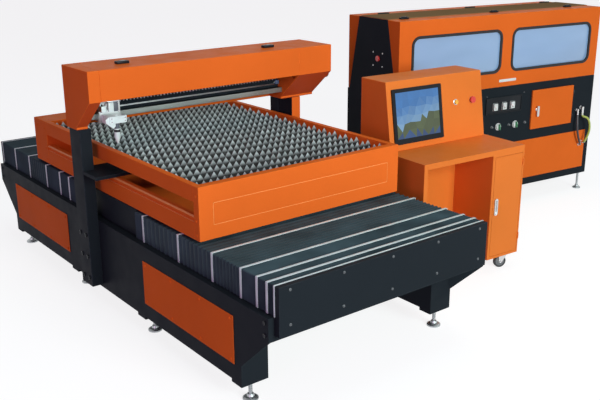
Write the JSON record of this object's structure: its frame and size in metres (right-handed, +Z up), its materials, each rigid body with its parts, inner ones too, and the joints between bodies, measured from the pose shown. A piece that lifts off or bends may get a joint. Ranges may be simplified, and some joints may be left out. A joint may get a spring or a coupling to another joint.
{
  "type": "laser cutting machine",
  "caption": "Moving-table laser cutter under a fixed gantry, with bellows-covered travel, a separate control console and a laser cabinet.",
  "frame": {"origin": "on the floor under the centre of the whole plant", "axes": "+X across the table towards the console and cabinet, +Y along the table travel away from the operator, +Z up"},
  "size_m": [3.9832, 3.012, 1.386],
  "materials": {
    "orange_paint": "satin",
    "black_paint": "satin",
    "roof_paint": "satin",
    "bellows_cloth": "matt coated cloth",
    "steel": "ground",
    "slat_steel": "rolled",
    "aluminium": "satin",
    "chrome": "bright",
    "screen": "display",
    "pane": "tinted",
    "black_plastic": "matt",
    "white_plastic": "gloss",
    "amber_plastic": "gloss",
    "red_plastic": "gloss",
    "green_plastic": "gloss",
    "tyre": "matt",
    "hose": "matt",
    "brass": "nickelled"
  },
  "bodies": {
    "base": {"base_frame": "black_paint", "base_panels": "orange_paint", "base_feet": "chrome", "end_covers": "black_paint", "cover_bolts": "chrome", "table_rails": "steel", "screw_drive": "black_paint", "bellows_front": "bellows_cloth", "bellows_rear": "bellows_cloth", "cross_duct": "black_paint", "posts": "black_paint", "gantry_beam": "black_paint", "gantry_cover": "orange_paint", "cover_latches": "black_plastic", "gantry_cap_left": "orange_paint", "gantry_cap_right": "orange_paint", "guide_rails": "steel", "gear_rack": "steel", "console_shell": "orange_paint", "console_hood": "orange_paint", "monitor": "screen", "console_computer": "black_plastic", "cabinet_base": "black_paint", "cabinet_housing": "orange_paint", "cabinet_windows": "pane", "cabinet_hardware": "black_plastic", "aperture_cap": "red_plastic", "panel_meters": "white_plastic", "hose_fittings": "brass", "coolant_hose": "hose", "cabinet_feet": "chrome", "laser_resonator": "aluminium"},
    "table": {"table_front": "orange_paint", "table_rear": "orange_paint", "table_rims": "orange_paint", "table_tray": "orange_paint", "slat_bed": "slat_steel", "saddle": "black_paint"},
    "screw": {"ball_screw": "steel"},
    "carriage": {"head_carriage": "aluminium"},
    "pinion": {"head_pinion": "steel"},
    "focus": {"focus_slide": "aluminium", "cutting_nozzle": "aluminium"},
    "pedestal_door": {"console_door": "orange_paint", "console_handle": "chrome"},
    "amber_push": {"amber_button": "amber_plastic"},
    "red_push": {"red_button": "red_plastic"},
    "lid": {"roof_lid": "roof_paint"},
    "cabinet_front_door": {"cabinet_door": "orange_paint"},
    "door_handle": {"cabinet_handle": "chrome"},
    "left_switch": {"switch_left": "green_plastic"},
    "right_switch": {"switch_right": "green_plastic"},
    "fork_1": {"caster_fork_1": "steel"},
    "wheel_1": {"caster_wheel_1": "tyre"},
    "fork_2": {"caster_fork_2": "steel"},
    "wheel_2": {"caster_wheel_2": "tyre"},
    "fork_3": {"caster_fork_3": "steel"},
    "wheel_3": {"caster_wheel_3": "tyre"},
    "fork_4": {"caster_fork_4": "steel"},
    "wheel_4": {"caster_wheel_4": "tyre"}
  },
  "joints": [
    {"name": "table_travel", "type": "slide", "parent": "base", "child": "table", "axis": [0, 1, 0], "range_m": [-0.6, 0.6], "deforming": ["bellows_front", "bellows_rear"]},
    {"name": "screw_spin", "type": "hinge", "parent": "base", "child": "screw", "pos_m": [-1.27962, 0, 0.545], "axis": [0, 1, 0], "continuous": true},
    {"name": "head_travel", "type": "slide", "parent": "base", "child": "carriage", "axis": [1, 0, 0], "range_m": [0, 1.04]},
    {"name": "pinion_spin", "type": "hinge", "parent": "carriage", "child": "pinion", "pos_m": [-1.83062, 0.04, 1.09], "axis": [0, 1, 0], "continuous": true},
    {"name": "focus_travel", "type": "slide", "parent": "carriage", "child": "focus", "axis": [0, 0, 1], "range_m": [-0.012, 0.012]},
    {"name": "pedestal_door_swing", "type": "hinge", "parent": "base", "child": "pedestal_door", "pos_m": [0.22405, -1.00736, 0.4], "axis": [0, 0, 1], "range_deg": [0, 110]},
    {"name": "amber_press", "type": "slide", "parent": "base", "child": "amber_push", "axis": [0.0689, 0.9854, -0.156], "range_m": [0, 0.003], "stiffness_N_per_m": 400, "springref_m": -0.003},
    {"name": "red_press", "type": "slide", "parent": "base", "child": "red_push", "axis": [0.0689, 0.9854, -0.156], "range_m": [0, 0.003], "stiffness_N_per_m": 400, "springref_m": -0.003},
    {"name": "lid_swing", "type": "hinge", "parent": "base", "child": "lid", "pos_m": [1.07293, 0.23067, 1.376], "axis": [-0.9925, 0.1219, 0], "range_deg": [0, 100]},
    {"name": "cabinet_door_swing", "type": "hinge", "parent": "base", "child": "cabinet_front_door", "pos_m": [1.70801, -0.29162, 0.683], "axis": [0, 0, 1], "range_deg": [0, 110]},
    {"name": "door_handle_turn", "type": "hinge", "parent": "cabinet_front_door", "child": "door_handle", "pos_m": [1.34154, -0.25669, 0.684], "axis": [0.1219, 0.9925, 0], "range_deg": [0, 90]},
    {"name": "left_switch_turn", "type": "hinge", "parent": "base", "child": "left_switch", "pos_m": [0.99214, -0.20573, 0.598], "axis": [0.1219, 0.9925, 0], "range_deg": [0, 90]},
    {"name": "right_switch_turn", "type": "hinge", "parent": "base", "child": "right_switch", "pos_m": [1.15194, -0.22535, 0.598], "axis": [0.1219, 0.9925, 0], "range_deg": [0, 90]},
    {"name": "swivel_1", "type": "hinge", "parent": "base", "child": "fork_1", "pos_m": [0.18235, -0.9443, 0.09], "axis": [0, 0, 1], "continuous": true},
    {"name": "roll_1", "type": "hinge", "parent": "fork_1", "child": "wheel_1", "pos_m": [0.16225, -0.93535, 0.0375], "axis": [-0.4067, -0.9135, 0], "continuous": true},
    {"name": "swivel_2", "type": "hinge", "parent": "base", "child": "fork_2", "pos_m": [0.21653, -0.45549, 0.09], "axis": [0, 0, 1], "continuous": true},
    {"name": "roll_2", "type": "hinge", "parent": "fork_2", "child": "wheel_2", "pos_m": [0.19538, -0.46155, 0.0375], "axis": [0.2756, -0.9613, 0], "continuous": true},
    {"name": "swivel_3", "type": "hinge", "parent": "base", "child": "fork_3", "pos_m": [-0.48802, -0.89742, 0.09], "axis": [0, 0, 1], "continuous": true},
    {"name": "roll_3", "type": "hinge", "parent": "fork_3", "child": "wheel_3", "pos_m": [-0.46687, -0.89136, 0.0375], "axis": [-0.2756, 0.9613, 0], "continuous": true},
    {"name": "swivel_4", "type": "hinge", "parent": "base", "child": "fork_4", "pos_m": [-0.45383, -0.40862, 0.09], "axis": [0, 0, 1], "continuous": true},
    {"name": "roll_4", "type": "hinge", "parent": "fork_4", "child": "wheel_4", "pos_m": [-0.43374, -0.41756, 0.0375], "axis": [0.4067, 0.9135, 0], "continuous": true}
  ],
  "couplings": [
    {"joint": "screw_spin", "follows": "table_travel", "rad_per_m": 157.08},
    {"joint": "pinion_spin", "follows": "head_travel", "rad_per_m": -50}
  ]
}
